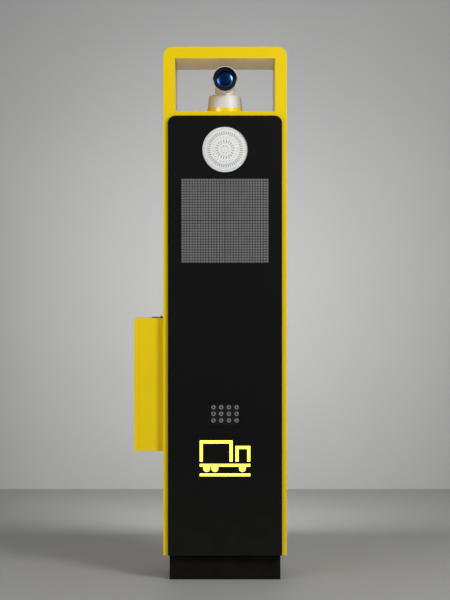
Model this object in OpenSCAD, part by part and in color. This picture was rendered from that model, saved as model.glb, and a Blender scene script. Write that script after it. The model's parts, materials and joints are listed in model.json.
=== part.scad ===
// Driver registration column for a vehicle lane. A sheet-steel column with an arch over a
// camera, a signal lamp, a matrix display, a lamp cluster, a lit sign and a service box.
// Origin: floor level, centre of the anchor pattern. X to the right, Y to the back, Z up.
// All sizes are in millimetres.

/* [Column] */
// Width over the side sheets
column_w = 540; // [500:10:660]
// Depth over the front and back sheets
column_d = 340; // [300:10:420]
// Height from the floor to the top of the arch
column_h = 2330; // [2150:10:2800]
// Thickness of the column's sheets
sheet = 3; // [2:0.5:4]
// Outer radius of the arch's shoulders
shoulder_r = 42; // [20:1:46]
// Width of the arch's band, seen from the front
arch_band = 51; // [48:1:64]
// Height of the see-through window in the arch
window_h = 231; // [222:1:300]
// Height of the crossbar between the window and the front panel
crossbar_h = 20; // [8:1:40]

/* [Plinth] */
// Height of the plinth, base plate included
plinth_h = 110; // [80:5:160]
// How far the plinth stands in from each side of the column
plinth_side_inset = 27; // [10:1:45]
// How far the plinth stands in from the column's front and back
plinth_face_inset = 25; // [10:1:45]
// Thickness of the plinth's walls and top flange
plinth_t = 4; // [3:0.5:6]
// Thickness of the base plate
base_t = 8; // [6:1:15]
// Distance from the plinth's side to the anchor holes
anchor_side = 43; // [30:1:60]
// Distance from the plinth's front and back to the anchor holes
anchor_face = 40; // [30:1:60]
// Radius of the anchor holes
anchor_r = 7; // [5:0.5:10]
// Radius of the cable entry in the base plate
entry_r = 50; // [30:1:70]

/* [Front panel] */
// Yellow margin left at each side of the panel
panel_margin = 21; // [12:1:28]
// How far the panel's face stands proud of the column
panel_proud = 12; // [8:1:20]
// Thickness of the panel's sheet
panel_t = 3; // [2:0.5:4]
// Radius of the panel's two upper corners
panel_r = 33; // [15:1:60]
// Radius of the panel's studs
stud_r = 3; // [2:0.5:4]

/* [Signal, display, lamps and sign] */
// Radius of the signal's opening
signal_r = 100; // [70:1:120]
// Gap between the panel's top and the signal's opening
signal_edge = 47.5; // [35:0.5:80]
// Width of one display module
module_w = 190; // [150:1:200]
// Height of one display module
module_h = 183; // [150:1:200]
// Gap between the signal's opening and the display's opening
display_gap = 27; // [26:0.5:120]
// Lamp cluster's centre above the sign's centre
lamp_rise = 185; // [175:1:300]
// Radius of one lamp lens
lamp_r = 10; // [6:0.5:12]
// Sideways pitch of the lamp lenses
lamp_pitch_x = 33.8; // [28:0.1:40]
// Upward pitch of the lamp lenses
lamp_pitch_z = 28.9; // [26:0.1:40]
// Sign's centre above the panel's bottom
sign_rise = 432; // [150:1:600]
// Width of the sign's picture
sign_w = 220; // [180:1:240]

/* [Camera] */
// Camera's turning axis behind the column's centre
camera_y = 40; // [20:1:60]
// Radius of the yellow riser
riser_r = 80.8; // [70:0.1:100]
// Height of the yellow riser
riser_h = 33; // [20:1:40]
// Radius of the camera's base at its foot
base_r = 78.5; // [66:0.1:84]
// Height of the camera's base
base_h = 59; // [40:1:62]
// Radius of the turret that carries the camera
turret_r = 44.8; // [42:0.1:50]
// Radius of the camera's front barrel
barrel_r = 50; // [40:0.5:52]
// Radius of the camera's rear barrel
tail_r = 33; // [24:0.5:34]

/* [Service box] */
// Width of the service box, standing out from the column's left side
box_w = 128; // [115:1:180]
// Depth of the service box
box_d = 240; // [220:5:260]
// Height of the service box
box_h = 583; // [560:1:800]
// Height of the service box's underside above the floor
box_z = 562; // [400:1:900]
// How far the box's front stands behind the column's front
box_setback = 28; // [10:1:60]
// Thickness of the box's walls and its door's sheet
box_t = 2; // [1.5:0.5:3]
// Radius of a full ticket roll
roll_r = 30; // [20:1:32]
// Radius of the ticket feed roller
platen_r = 8; // [6:0.5:10]

/* [Rear door] */
// Gap round the rear door
door_gap = 3; // [2:0.5:5]
// Depth of the rear door's folded edges
door_fold = 20; // [14:1:26]
// Radius of the hinge knuckles
knuckle_r = 7; // [6:0.5:9]
// Radius of the hinge pins
pin_r = 4; // [2:0.5:5]

/* [Hidden] */
$fn = 72;
fit = 0.05;    // running clearance of a shaft in its bore, on the radius
slip = 0.3;    // clearance between parts that move or drop past each other
through = 1;   // how far a cut runs past the face it opens

// Column
side_x = column_w / 2;
inner_x = side_x - sheet;
front_y = -column_d / 2;
back_y = column_d / 2;
front_in = front_y + sheet;
back_in = back_y - sheet;
shoulder_z = column_h - shoulder_r;
window_x = side_x - arch_band;
window_top = column_h - arch_band;
shelf_z = window_top - window_h;
deck_z = plinth_h + sheet;

// Plinth
plinth_x = side_x - plinth_side_inset;
plinth_y = back_y - plinth_face_inset;
flange_w = 32;
anchor_x = plinth_x - anchor_side;
anchor_y = plinth_y - anchor_face;
gland_r = 12;
gland_x = [-67.5, -22.5, 22.5, 67.5];
gland_y = 60;

// Front panel
panel_x = side_x - panel_margin;
panel_z = [plinth_h, shelf_z - crossbar_h];
panel_front = front_y - panel_proud;
panel_in = panel_front + panel_t;
service_z = [plinth_h + 30, panel_z[1] - 28];
front_open_x = side_x - 45;
stud_x = side_x - 34;
stud_z = [for (i = [0:4]) panel_z[0] + 60 + i * (panel_z[1] - panel_z[0] - 120) / 4];
nut_h = 5;

// Signal
signal_z = panel_z[1] - signal_edge - signal_r;
lens_r = signal_r - 0.7;
gasket_t = 3;
cup_y = [panel_in + gasket_t, panel_in + gasket_t + 76];
cup_bore = lens_r + 0.2;
cup_wall = 3.5;
lens_seat_y = panel_in + 5.5;
lens_mid_t = 7.5;
lens_sag = 5.5;
lens_steps = 12;
board_y = cup_y[1] - 33;

// Display
seam = 1;
display_x = module_w + seam;
display_half_z = module_h + seam;
display_z = signal_z - signal_r - display_gap - display_half_z;
bezel_w = 10;
module_y = [panel_in - 1.5, panel_in + 19];

// Sign and lamp cluster
sign_z = panel_z[0] + sign_rise;
lamp_z = sign_z + lamp_rise;
lamp_cols = 4;
lamp_rows = 3;
lamp_x = (lamp_cols - 1) / 2 * lamp_pitch_x + lamp_r + 10.8;
lamp_half_z = (lamp_rows - 1) / 2 * lamp_pitch_z + lamp_r + 10.6;
lamp_floor_y = panel_in + 9;
lamp_plate_t = 7;
lamp_corner = 8;
lamps = [for (c = [0:lamp_cols - 1], r = [0:lamp_rows - 1])
  [(c - (lamp_cols - 1) / 2) * lamp_pitch_x, lamp_z + (r - (lamp_rows - 1) / 2) * lamp_pitch_z]];

// Sign: a lorry on a weighing platform, drawn in strokes, with its middle at the origin
stroke = 13;
sign_x = sign_w / 2;
cab_w = 64;
cargo_z = [-22, 70];
cab_z = [-22, 46];
chassis_z = [-44, -32];
wheel_z = -52;
wheel_r = 15;
platform_z = [-86, -74];
guide_t = 5;
guide_y = panel_front - 2;

// Equipment bay
plate_y = front_y + 150;
plate_t = 2.5;
rail_y = plate_y + plate_t;
rail_d = 7.5;
rail_z = [900, 1300];
rail_x = 200;
gear_y = rail_y + rail_d;
lever_y = gear_y + 64;
lever_x = [105, 117];

// Rear door
rear_open_x = side_x - 52;
rear_fold_y = back_in - 30;
lip_w = 15;
door_x = rear_open_x - door_gap;
door_z = [service_z[0] + door_gap, service_z[1] - door_gap];
door_fold_y = back_in - door_fold;
seal_y = rear_fold_y + sheet;
hinge_x = rear_open_x - door_gap / 2;
hinge_y = back_y + knuckle_r + 1;
hinge_z = [door_z[0] + 180, (door_z[0] + door_z[1]) / 2, door_z[1] - 180];
hinge_half = 40;
leaf_w = 30;
leaf_t = 3;
lock_x = -(door_x - 30);
lock_z = [door_z[0] + 457, door_z[1] - 397];
lock_core_r = 8;
lock_body_r = 11;
lock_head_r = 14;
cam_t = 3;
cam_y = rear_fold_y - cam_t - 3;
cam_l = 28;

// Ventilation
vent_z = [door_z[0] + 207, door_z[1] - 197];
vent_half = 75;
vent_open = 55;
fan_half = 60;
fan_bore = 57;
fan_y = [back_in - 25, back_in];
spindle_r = 3;

// Camera
riser_z = shelf_z + riser_h;
base_z = riser_z + base_h;
base_top_r = base_r - 6.7;
base_round = 6;
tilt_z = base_z + 52;
slot_x = tail_r + 0.75;
trough_drop = turret_r * tan(13);
spigot_r = 20;
bolt_r = 5;
bolt_head_r = 8;
bolt_seat_x = turret_r - 1.8;
barrel_y = [camera_y - 165, camera_y - 92];
tail_y = camera_y + 72;
ring_l = 8;
glass_r = barrel_r - 11.5;
glass_sphere = 80;
shield_r = barrel_r + 3;
shield_t = 2.4;

// Service box
box_x = [-side_x - box_w, -side_x];
box_y = [front_y + box_setback, front_y + box_setback + box_d];
box_top = box_z + box_h;
box_cy = (box_y[0] + box_y[1]) / 2;
pan_x = box_x[0] + 20.5;
shell_x = pan_x + slip;
keeper_w = 12;
keeper_t = 2;
duct_y = box_y[0] + 72;
duct_z = box_z + 138;
duct_r = 20;
side_knuckle_r = 5;
side_pin_r = 2.5;
side_hinge_x = (pan_x + shell_x) / 2 + 0.1;
side_hinge_y = box_y[1] + side_knuckle_r + 2;
side_hinge_z = [box_z + 80, box_top - 80];
side_half = 25;
side_leaf_t = 2.5;
side_lock_y = box_y[0] + 27;
side_lock_z = box_z + 288;
side_core_r = 6;
side_cam_x = shell_x + keeper_t + 2.2;
reader_y = [box_cy - 40, box_cy + 60];
reader_z = [box_top - 185, box_top - 115];
voice_y = [box_cy - 28, box_cy + 48];
voice_z = [box_top - 95, box_top - 45];

// On top of the service box and under its top
button_x = box_x[1] - 11.5;
button_y = box_y[0] + 52;
button_r = 5;
button_travel = 3;
collar_r = 8.2;
collar_h = 5;
slot_cx = box_x[1] - 39.5;
slot_half = [3, 31];
bezel_half = [13.5, 42];
bezel_h = 4;
printer_x = [box_x[1] - 90, box_x[1] - box_t];
printer_z = [box_top - 145, box_top - 15];
printer_half = 34;
printer_t = 3;
roll_x = slot_cx - 1.5 - roll_r;
roll_z = box_top - 105;
platen_x = slot_cx + platen_r + slip;
platen_z = box_top - 40;
roll_pin_r = 4;
platen_pin_r = 3;

// ---- Shapes used again and again ----

// A box given by its range along each axis
module block(x, y, z) translate([x[0], y[0], z[0]]) cube([x[1] - x[0], y[1] - y[0], z[1] - z[0]]);

// A box centred on x = 0
module wide_block(half, y, z) block([-half, half], y, z);

// Rods along each axis
module rod_x(y, z, x, r) translate([x[0], y, z]) rotate([0, 90, 0]) cylinder(h = x[1] - x[0], r = r);
module rod_y(x, z, y, r) translate([x, y[1], z]) rotate([90, 0, 0]) cylinder(h = y[1] - y[0], r = r);
module rod_z(x, y, z, r) translate([x, y, z[0]]) cylinder(h = z[1] - z[0], r = r);

// An outline drawn in X and Z, given its thickness along Y
module slab(y) translate([0, y[1], 0]) rotate([90, 0, 0]) linear_extrude(y[1] - y[0]) children();

// An outline drawn in Y and Z, given its length along X
module bar(x) translate([x[0], 0, 0]) rotate([90, 0, 90]) linear_extrude(x[1] - x[0]) children();

// A rectangle in X and Z
module pane(half, z) translate([-half, z[0]]) square([2 * half, z[1] - z[0]]);

// A rectangle with square feet and two round upper corners
module arched(half, z, r) {
  pane(half, [z[0], z[1] - r]);
  pane(half - r, z);
  for (s = [-1, 1]) translate([s * (half - r), z[1] - r]) circle(r);
}

// A rectangle with four round corners, centred on a height
module round_pane(half, z, half_z, r) {
  pane(half, [z - half_z + r, z + half_z - r]);
  pane(half - r, [z - half_z, z + half_z]);
  for (s = [-1, 1], t = [-1, 1]) translate([s * (half - r), z + t * (half_z - r)]) circle(r);
}

// ---- Plinth and floor ----

module plinth_box() color("#141414") difference() {
  wide_block(plinth_x, [-plinth_y, plinth_y], [base_t, plinth_h]);
  wide_block(plinth_x - plinth_t, [-plinth_y + plinth_t, plinth_y - plinth_t],
    [base_t - through, plinth_h - plinth_t]);
  wide_block(plinth_x - flange_w, [-plinth_y + flange_w, plinth_y - flange_w],
    [base_t, plinth_h + through]);
}

module base_plate() color("#1c1c1c") difference() {
  wide_block(plinth_x, [-plinth_y, plinth_y], [0, base_t]);
  for (s = [-1, 1], t = [-1, 1])
    rod_z(s * anchor_x, t * anchor_y, [-through, base_t + through], anchor_r);
  rod_z(0, 0, [-through, base_t + through], entry_r);
}

module floor_deck() color("#9a9c9e") difference() {
  wide_block(inner_x, [front_in, back_in], [plinth_h, deck_z]);
  for (x = gland_x) rod_z(x, gland_y, [plinth_h - through, deck_z + through], gland_r + slip);
  for (s = [-1, 1], t = [-1, 1])
    rod_z(s * anchor_x, t * anchor_y, [plinth_h - through, deck_z + through], anchor_r + 9);
}

module cable_glands() color("#202020") for (x = gland_x) difference() {
  union() {
    rod_z(x, gland_y, [plinth_h - 6, deck_z], gland_r);
    rod_z(x, gland_y, [deck_z, deck_z + 9], gland_r + 4, $fn = 6);
    rod_z(x, gland_y, [deck_z + 9, deck_z + 19], gland_r + 1);
  }
  rod_z(x, gland_y, [plinth_h - 7, deck_z + 20], gland_r - 4);
}

// ---- Column sheets ----

module side_sheet(x) block(x, [front_in, back_in], [plinth_h, shoulder_z]);

module left_side_sheet() color("#e3c300") difference() {
  side_sheet([-side_x, -inner_x]);
  rod_x(duct_y, duct_z, [-side_x - through, -inner_x + through], duct_r);
}

module right_side_sheet() color("#e3c300") side_sheet([inner_x, side_x]);

// The folded top of the arch, from shoulder to shoulder
module cap_outline(inset) {
  pane(side_x - shoulder_r, [shoulder_z, column_h - inset]);
  for (s = [-1, 1]) translate([s * (side_x - shoulder_r), shoulder_z]) circle(shoulder_r - inset);
}

module arch_cap_sheet() color("#e3c300") slab([front_in, back_in]) difference() {
  cap_outline(0);
  cap_outline(sheet);
  pane(side_x + through, [shoulder_z - shoulder_r - through, shoulder_z]);
}

module window_pane() pane(window_x, [shelf_z, window_top]);

module front_face_frame() color("#e3c300") difference() {
  slab([front_y, front_in]) difference() {
    arched(side_x, [plinth_h, column_h], shoulder_r);
    window_pane();
    pane(front_open_x, service_z);
  }
  for (s = [-1, 1], z = stud_z)
    rod_y(s * stud_x, z, [front_y - through, front_in + through], stud_r + slip);
}

// Back sheet with a box-edged opening and the lip that the door's seal sits on
module rear_face_frame() color("#e3c300") {
  slab([back_in, back_y]) difference() {
    arched(side_x, [plinth_h, column_h], shoulder_r);
    window_pane();
    pane(rear_open_x, service_z);
  }
  slab([rear_fold_y, back_in]) difference() {
    pane(rear_open_x + sheet, [service_z[0] - sheet, service_z[1] + sheet]);
    pane(rear_open_x, service_z);
  }
  slab([rear_fold_y, seal_y]) difference() {
    pane(rear_open_x, service_z);
    pane(rear_open_x - lip_w, [service_z[0] + lip_w, service_z[1] - lip_w]);
  }
}

module window_liner() color("#e3c300") slab([front_in, back_in]) difference() {
  pane(window_x + sheet, [shelf_z, window_top + sheet]);
  pane(window_x, [shelf_z - through, window_top]);
}

module camera_shelf() color("#e3c300") difference() {
  wide_block(inner_x, [front_in, back_in], [shelf_z - sheet, shelf_z]);
  rod_z(0, camera_y, [shelf_z - sheet - through, shelf_z + through], spigot_r - 2);
}

// ---- Front panel and what it carries ----

module panel_outline(inset) {
  arched(panel_x - inset, [panel_z[0] + inset, panel_z[1] - inset], panel_r - inset);
}

// Rectangle in a stroke's range, grown by a clearance on every side
module stroke_pane(x, z, grow) {
  translate([x[0] - grow, z[0] - grow]) square([x[1] - x[0] + 2 * grow, z[1] - z[0] + 2 * grow]);
}

// A hoop of strokes: two legs and a top
module hoop(x, z, grow) {
  stroke_pane([x[0], x[0] + stroke], z, grow);
  stroke_pane([x[1] - stroke, x[1]], z, grow);
  stroke_pane(x, [z[1] - stroke, z[1]], grow);
}

module lorry(grow) translate([0, sign_z]) {
  hoop([-sign_x, sign_x - cab_w - stroke], cargo_z, grow);
  hoop([sign_x - cab_w, sign_x], cab_z, grow);
  stroke_pane([-sign_x, sign_x], chassis_z, grow);
  for (x = [-sign_x + 30, -sign_x + 66, sign_x - 34])
    translate([x, wheel_z]) circle(wheel_r + grow);
  stroke_pane([-sign_x, sign_x], platform_z, grow);
}

module front_panel() color("#161616") difference() {
  union() {
    slab([panel_front, panel_in]) panel_outline(0);
    slab([panel_in, front_y]) difference() {
      panel_outline(0);
      panel_outline(panel_t);
    }
    for (s = [-1, 1], z = stud_z)
      rod_y(s * stud_x, z, [panel_in - through, front_y + 16], stud_r);
  }
  rod_y(0, signal_z, [panel_front - through, panel_in + through], signal_r);
  slab([panel_front - through, panel_in + through]) {
    pane(display_x, [display_z - display_half_z, display_z + display_half_z]);
    round_pane(lamp_x, lamp_z, lamp_half_z, lamp_corner);
    lorry(slip);
  }
}

module panel_nuts() color("#b8bcc0") for (s = [-1, 1], z = stud_z) difference() {
  rod_y(s * stud_x, z, [front_in, front_in + nut_h], stud_r * 1.9, $fn = 6);
  rod_y(s * stud_x, z, [front_in - through, front_in + nut_h + through], stud_r + fit);
}

module signal_gasket() color("#2a2a2a") difference() {
  rod_y(0, signal_z, [panel_in, cup_y[0]], cup_bore + 14.5);
  rod_y(0, signal_z, [panel_in - through, cup_y[0] + through], cup_bore + 1.5);
}

// Cup with a flange in front, a step that the lens seats on and three standoffs
module signal_housing() color("#24262a") {
  difference() {
    union() {
      rod_y(0, signal_z, [cup_y[0], cup_y[0] + 4], cup_bore + 14.5);
      rod_y(0, signal_z, cup_y, cup_bore + cup_wall);
    }
    rod_y(0, signal_z, [cup_y[0] - through, lens_seat_y], cup_bore);
    rod_y(0, signal_z, [lens_seat_y - through, lens_seat_y + 3.5], lens_r - 4.3);
    rod_y(0, signal_z, [lens_seat_y + 3.5, cup_y[1] - 3], cup_bore);
    rod_y(0, signal_z, [cup_y[1] - 4, cup_y[1] + through], 8);
  }
  for (a = [90, 210, 330])
    rod_y(0.6 * signal_r * cos(a), signal_z + 0.6 * signal_r * sin(a), [board_y, cup_y[1] - 3], 4);
}

module signal_led_board() color("#1d5a38") rod_y(0, signal_z, [board_y - 1.6, board_y], lens_r - 9.3);

// Lens with a flat back and a front that falls away from its middle as the square of the radius
module signal_lens() color("#e6e6e4") translate([0, lens_seat_y, signal_z]) rotate([90, 0, 0])
  rotate_extrude() polygon(concat([[0, 0], [lens_r, 0]],
    [for (i = [lens_steps:-1:0]) [lens_r * i / lens_steps, lens_mid_t - lens_sag * pow(i / lens_steps, 2)]]));

module display_frame() color("#1e1e20") difference() {
  union() {
    wide_block(display_x + bezel_w, [panel_in, panel_in + 3],
      [display_z - display_half_z - bezel_w, display_z + display_half_z + bezel_w]);
    wide_block(display_x + 3, [panel_in, module_y[1] + 3],
      [display_z - display_half_z - 3, display_z + display_half_z + 3]);
  }
  wide_block(display_x, [panel_in - through, module_y[1]],
    [display_z - display_half_z, display_z + display_half_z]);
  for (s = [-1, 1], t = [-1, 1])
    block([s * display_x / 2 - 60, s * display_x / 2 + 60], [module_y[1] - through, module_y[1] + 4],
      [display_z + t * display_half_z / 2 - 60, display_z + t * display_half_z / 2 + 60]);
}

module display_modules() color("#4a4c50") for (s = [-1, 1], t = [-1, 1])
  translate([s * (module_w + seam) / 2 - module_w / 2, module_y[0],
      display_z + t * (module_h + seam) / 2 - module_h / 2])
    cube([module_w, module_y[1] - module_y[0], module_h]);

// Tray with a flange in front, pockets for the lenses and cooling fins behind
module lamp_body() color("#2b2b2d") difference() {
  union() {
    slab([panel_in, panel_in + 3]) pane(lamp_x + 10, [lamp_z - lamp_half_z - 10, lamp_z + lamp_half_z + 10]);
    slab([panel_in, lamp_floor_y + lamp_plate_t])
      pane(lamp_x + 3, [lamp_z - lamp_half_z - 3, lamp_z + lamp_half_z + 3]);
    for (i = [-5:5]) block([i * lamp_x / 5.2 - 1.5, i * lamp_x / 5.2 + 1.5],
      [lamp_floor_y + lamp_plate_t - through, lamp_floor_y + lamp_plate_t + 22],
      [lamp_z - lamp_half_z, lamp_z + lamp_half_z]);
  }
  slab([panel_in - through, lamp_floor_y]) round_pane(lamp_x, lamp_z, lamp_half_z, lamp_corner);
  for (p = lamps) rod_y(p[0], p[1], [lamp_floor_y - through, lamp_floor_y + 3], lamp_r + 0.2);
}

module lamp_lenses() color("#c9c9c2") for (p = lamps) intersection() {
  rod_y(p[0], p[1], [lamp_floor_y - 6, lamp_floor_y + 3], lamp_r);
  translate([p[0], lamp_floor_y - 4.5 + 1.4 * lamp_r, p[1]]) sphere(1.4 * lamp_r);
}

module sign_light_guide() color("#fff27a") {
  slab([panel_in, panel_in + guide_t]) pane(sign_x + 20, [sign_z - 98, sign_z + 98]);
  slab([guide_y, panel_in]) lorry(0);
}

// ---- Equipment bay ----

module mounting_plate() color("#b9bcbf") {
  wide_block(inner_x, [plate_y, rail_y], [deck_z + 190, service_z[1] - 100]);
  for (s = [-1, 1]) block([s > 0 ? inner_x - plate_t : -inner_x, s > 0 ? inner_x : plate_t - inner_x],
    [rail_y, rail_y + 28], [deck_z + 190, service_z[1] - 100]);
}

module din_rails() color("#cfd2d4") for (z = rail_z) bar([-rail_x, rail_x]) translate([0, z]) {
  translate([rail_y, -13.5]) square([1, 27]);
  for (s = [-1, 1]) {
    translate([rail_y, s * 13 - 0.5]) square([rail_d, 1]);
    translate([gear_y - 1, s * 15 - 2.5]) square([1, 5]);
  }
}

module power_supply() color("#8f9396") difference() {
  block([-150, -70], [gear_y, gear_y + 115], [rail_z[1] - 62, rail_z[1] + 62]);
  for (i = [0:6]) block([-142, -78], [gear_y + 18 + 13 * i, gear_y + 23 + 13 * i],
    [rail_z[1] + 58, rail_z[1] + 63]);
}

module controller() color("#3f4a56") difference() {
  block([-50, 60], [gear_y, gear_y + 105], [rail_z[1] - 50, rail_z[1] + 50]);
  for (i = [0:3], t = [-1, 1]) block([-42 + 25 * i, -24 + 25 * i], [gear_y + 95, gear_y + 106],
    [rail_z[1] + t * 34 - 8, rail_z[1] + t * 34 + 8]);
}

module breaker_body() color("#e4e4e0") difference() {
  union() {
    block([84, 138], [gear_y, gear_y + 58], [rail_z[1] - 43, rail_z[1] + 43]);
    block([84, 138], [gear_y + 57, gear_y + 72], [rail_z[1] - 23, rail_z[1] + 23]);
  }
  block([lever_x[0] - slip, lever_x[1] + slip], [lever_y - 8, gear_y + 73], [rail_z[1] - 14, rail_z[1] + 14]);
  rod_x(lever_y, rail_z[1], [lever_x[0] - 5, lever_x[1] + 5], 2 + fit);
}

module breaker_lever() color("#20262c") {
  rod_x(lever_y, rail_z[1], lever_x, 6);
  rod_x(lever_y, rail_z[1], [lever_x[0] - 4.7, lever_x[1] + 4.7], 2);
  translate([0, lever_y, rail_z[1]]) rotate([35, 0, 0]) block(lever_x, [0, 20], [-3, 3]);
}

// ---- Rear door ----

module rear_door() color("#e3c300") difference() {
  union() {
    wide_block(door_x, [back_in, back_y], door_z);
    slab([door_fold_y, back_in]) difference() {
      pane(door_x, door_z);
      pane(door_x - sheet, [door_z[0] + sheet, door_z[1] - sheet]);
    }
  }
  for (z = vent_z)
    wide_block(vent_open, [back_in - through, back_y + through], [z - vent_open, z + vent_open]);
  for (z = lock_z) rod_y(lock_x, z, [back_in - through, back_y + through], lock_body_r + 0.2);
}

module door_seal() color("#1b1b1b") slab([seal_y, door_fold_y]) difference() {
  pane(door_x, door_z);
  pane(door_x - 10, [door_z[0] + 10, door_z[1] - 10]);
}

// Lower halves of the hinges, on the back sheet, with their pins
module hinge_frame_leaves() color("#c4c8cb") for (z = hinge_z) {
  rod_z(hinge_x, hinge_y, [z - hinge_half, z - slip / 2], knuckle_r);
  rod_z(hinge_x, hinge_y, [z - hinge_half, z + hinge_half], pin_r);
  block([hinge_x, hinge_x + leaf_w], [back_y, back_y + leaf_t], [z - hinge_half, z - slip / 2]);
}

// Upper halves of the hinges, on the door
module hinge_door_leaves() color("#c4c8cb") for (z = hinge_z) difference() {
  union() {
    rod_z(hinge_x, hinge_y, [z + slip / 2, z + hinge_half], knuckle_r);
    block([hinge_x - leaf_w, hinge_x], [back_y, back_y + leaf_t], [z + slip / 2, z + hinge_half]);
  }
  rod_z(hinge_x, hinge_y, [z, z + hinge_half + through], pin_r + fit);
}

// Quarter-turn lock bodies with the ring nuts that clamp them to the door
module rear_lock_bodies() color("#b4b8bc") for (z = lock_z) {
  difference() {
    union() {
      rod_y(lock_x, z, [back_y, back_y + 3], lock_head_r);
      rod_y(lock_x, z, [cam_y + cam_t + slip, back_y], lock_body_r);
    }
    rod_y(lock_x, z, [cam_y, back_y + 4], lock_core_r + fit);
  }
  difference() {
    rod_y(lock_x, z, [back_in - 6, back_in], lock_head_r + 1);
    rod_y(lock_x, z, [back_in - 7, back_in + through], lock_body_r + fit);
  }
}

// Core and cam of a lock, with its cam upright, which is the unlocked position
module rear_lock(z) color("#d0d3d5") difference() {
  union() {
    rod_y(lock_x, z, [cam_y, back_y + 2], lock_core_r);
    block([lock_x - 7, lock_x + 7], [cam_y, cam_y + cam_t], [z - 8, z + cam_l]);
  }
  rod_y(lock_x, z, [back_y - 4, back_y + 3], 4.5, $fn = 3);
}

module rear_lock_upper() rear_lock(lock_z[1]);

module rear_lock_lower() rear_lock(lock_z[0]);

// Louvred grilles over the door's two openings
module vent_grilles() color("#202022") for (z = vent_z) {
  difference() {
    wide_block(vent_half, [back_y, back_y + 3], [z - vent_half, z + vent_half]);
    for (i = [-3:3])
      wide_block(vent_open - 4, [back_y - through, back_y + 4], [z + 14 * i - 3, z + 14 * i + 5]);
  }
  for (i = [-3:3]) bar([-vent_open + 2, vent_open - 2]) translate([back_y + 3, z + 14 * i])
    polygon([[-0.5, 5], [-0.5, 7], [7, -1], [5.5, -2]]);
}

module fan_frame() color("#242424") translate([0, 0, vent_z[1]]) {
  difference() {
    wide_block(fan_half, fan_y, [-fan_half, fan_half]);
    rod_y(0, 0, [fan_y[0] - through, fan_y[1] + through], fan_bore);
  }
  rod_y(0, 0, [fan_y[0], fan_y[0] + 5], spindle_r + 17);
  rod_y(0, 0, [fan_y[0], fan_y[0] + 21], spindle_r);
  for (a = [45, -45]) rotate([0, a, 0]) wide_block(fan_half, [fan_y[0], fan_y[0] + 3], [-3, 3]);
}

module fan_rotor() color("#303032") translate([0, 0, vent_z[1]]) difference() {
  union() {
    rod_y(0, 0, [fan_y[0] + 5 + slip, fan_y[0] + 20], spindle_r + 16);
    for (i = [0:6]) rotate([0, i * 360 / 7, 0]) translate([0, fan_y[0] + 13, 0]) rotate([35, 0, 0])
      block([spindle_r + 14, fan_bore - 3], [-8, 8], [-1, 1]);
  }
  rod_y(0, 0, [fan_y[0], fan_y[1]], spindle_r + fit);
}

// ---- Camera ----

// A turned shape about the camera's upright axis
module turned() translate([0, camera_y, 0]) rotate_extrude() children();

module camera_riser() color("#e9c60a") turned() difference() {
  translate([60, shelf_z]) square([riser_r - 60, riser_h]);
  translate([59, shelf_z - through]) square([riser_r - 63, riser_h - 3]);
}

module camera_base() color("#ebe9e6") turned() difference() {
  union() {
    polygon([[0, riser_z], [base_r, riser_z], [base_top_r + 0.6, base_z - base_round],
      [base_top_r - base_round, base_z], [0, base_z]]);
    translate([base_top_r - base_round, base_z - base_round]) circle(base_round);
  }
  polygon([[-1, riser_z - through], [base_r - 4, riser_z - through],
    [base_top_r - 5, base_z - base_round - 4], [base_top_r - 8, base_z - 4], [-1, base_z - 4]]);
  translate([-1, base_z - 5]) square([spigot_r + fit + 1, 7]);
  translate([-100, riser_z - 10]) square([100, base_h + 20]);
}

// Turret with a trough that clears the tilting tail, on a spigot that is held under the base's top
module camera_neck() color("#ebe9e6") difference() {
  union() {
    rod_z(0, camera_y, [base_z + slip, tilt_z + 22], turret_r);
    rod_z(0, camera_y, [base_z - 8 - slip, base_z + slip], spigot_r);
    rod_z(0, camera_y, [base_z - 8 - slip, base_z - 4 - slip], spigot_r + 6);
  }
  wide_block(slot_x, [camera_y - 60, camera_y + 60], [tilt_z - trough_drop, tilt_z + 23]);
  rod_y(0, tilt_z - trough_drop, [camera_y - 60, camera_y + 60], slot_x + 0.75);
  rod_z(0, camera_y, [base_z - 9, tilt_z], 8);
  rod_x(camera_y, tilt_z, [-turret_r - 1, turret_r + 1], bolt_r + 0.2);
  for (s = [-1, 1]) rod_x(camera_y, tilt_z,
    [s > 0 ? bolt_seat_x : -turret_r - 1, s > 0 ? turret_r + 1 : -bolt_seat_x], bolt_head_r + 0.5);
}

module camera_tilt_bolts() color("#c2c5c8") for (s = [0, 180])
  translate([0, camera_y, tilt_z]) rotate([0, 0, s]) difference() {
    union() {
      rod_x(0, 0, [tail_r - 5, bolt_seat_x], bolt_r);
      rod_x(0, 0, [bolt_seat_x, bolt_seat_x + 3.5], bolt_head_r);
    }
    rod_x(0, 0, [bolt_seat_x + 1, bolt_seat_x + 4], 3.5, $fn = 6);
  }

module camera_barrel() color("#ebe9e6") difference() {
  rod_y(0, tilt_z, barrel_y, barrel_r);
  rod_y(0, tilt_z, [barrel_y[0] - through, barrel_y[1] - 4], barrel_r - 4);
  rod_y(0, tilt_z, [barrel_y[1] - 5, barrel_y[1] + through], tail_r - 10);
}

// Narrower housing behind the barrel, hung between the turret's cheeks
module camera_tail() color("#ebe9e6") difference() {
  rod_y(0, tilt_z, [barrel_y[1], tail_y], tail_r);
  rod_y(0, tilt_z, [barrel_y[1] - through, tail_y - 4], tail_r - 4);
  rod_x(camera_y, tilt_z, [-tail_r - 1, tail_r + 1], bolt_r + fit);
}

module camera_front_ring() color("#17181a") difference() {
  rod_y(0, tilt_z, [barrel_y[0] - ring_l, barrel_y[0]], barrel_r);
  rod_y(0, tilt_z, [barrel_y[0] - ring_l - through, barrel_y[0] - 2], glass_r);
  rod_y(0, tilt_z, [barrel_y[0] - 3, barrel_y[0] + through], glass_r - 3.5);
}

module camera_glass() color("#1e3a6e", 0.6) intersection() {
  rod_y(0, tilt_z, [barrel_y[0] - 20, barrel_y[0] - 2], glass_r - slip);
  translate([0, barrel_y[0] - 12 + glass_sphere, tilt_z]) sphere(glass_sphere, $fn = 180);
}

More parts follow.
